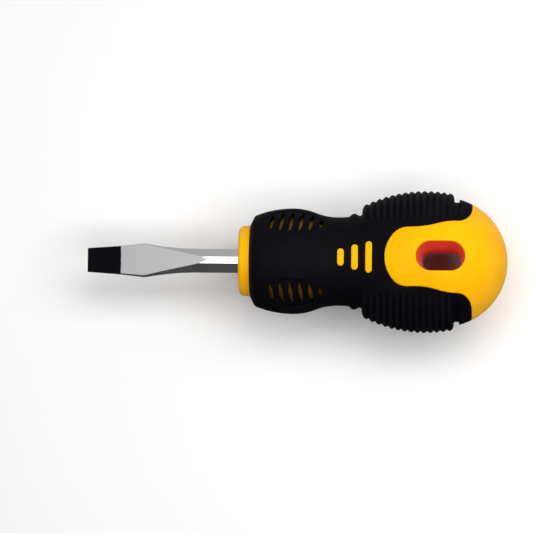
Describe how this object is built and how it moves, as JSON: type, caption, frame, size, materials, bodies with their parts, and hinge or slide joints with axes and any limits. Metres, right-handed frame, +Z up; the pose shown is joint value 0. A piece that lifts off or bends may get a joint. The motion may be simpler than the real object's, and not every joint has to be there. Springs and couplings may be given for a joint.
{
  "type": "screwdriver",
  "caption": "Stubby slotted screwdriver: forged flat-tip blade moulded into a three-colour handle with ribbed rubber sides and a hang hole.",
  "frame": {"origin": "bottom centre of the bounding box of the tool lying on its side, with the hang hole upright", "axes": "+X from the tip to the butt along the tool's axis, +Z up along the hang hole, +Y to one ribbed side pad"},
  "size_m": [0.105, 0.0356, 0.0315],
  "materials": {
    "blade_steel": "bright plated shank, blued black on the last 8 mm of the tip",
    "core_plastic": "semi-gloss red polypropylene",
    "body_plastic": "semi-gloss yellow polypropylene",
    "grip_rubber": "fine matt moulded rubber"
  },
  "bodies": {
    "root": {"blade": "blade_steel", "inner_core": "core_plastic", "handle_body": "body_plastic", "grip": "grip_rubber"}
  },
  "joints": []
}
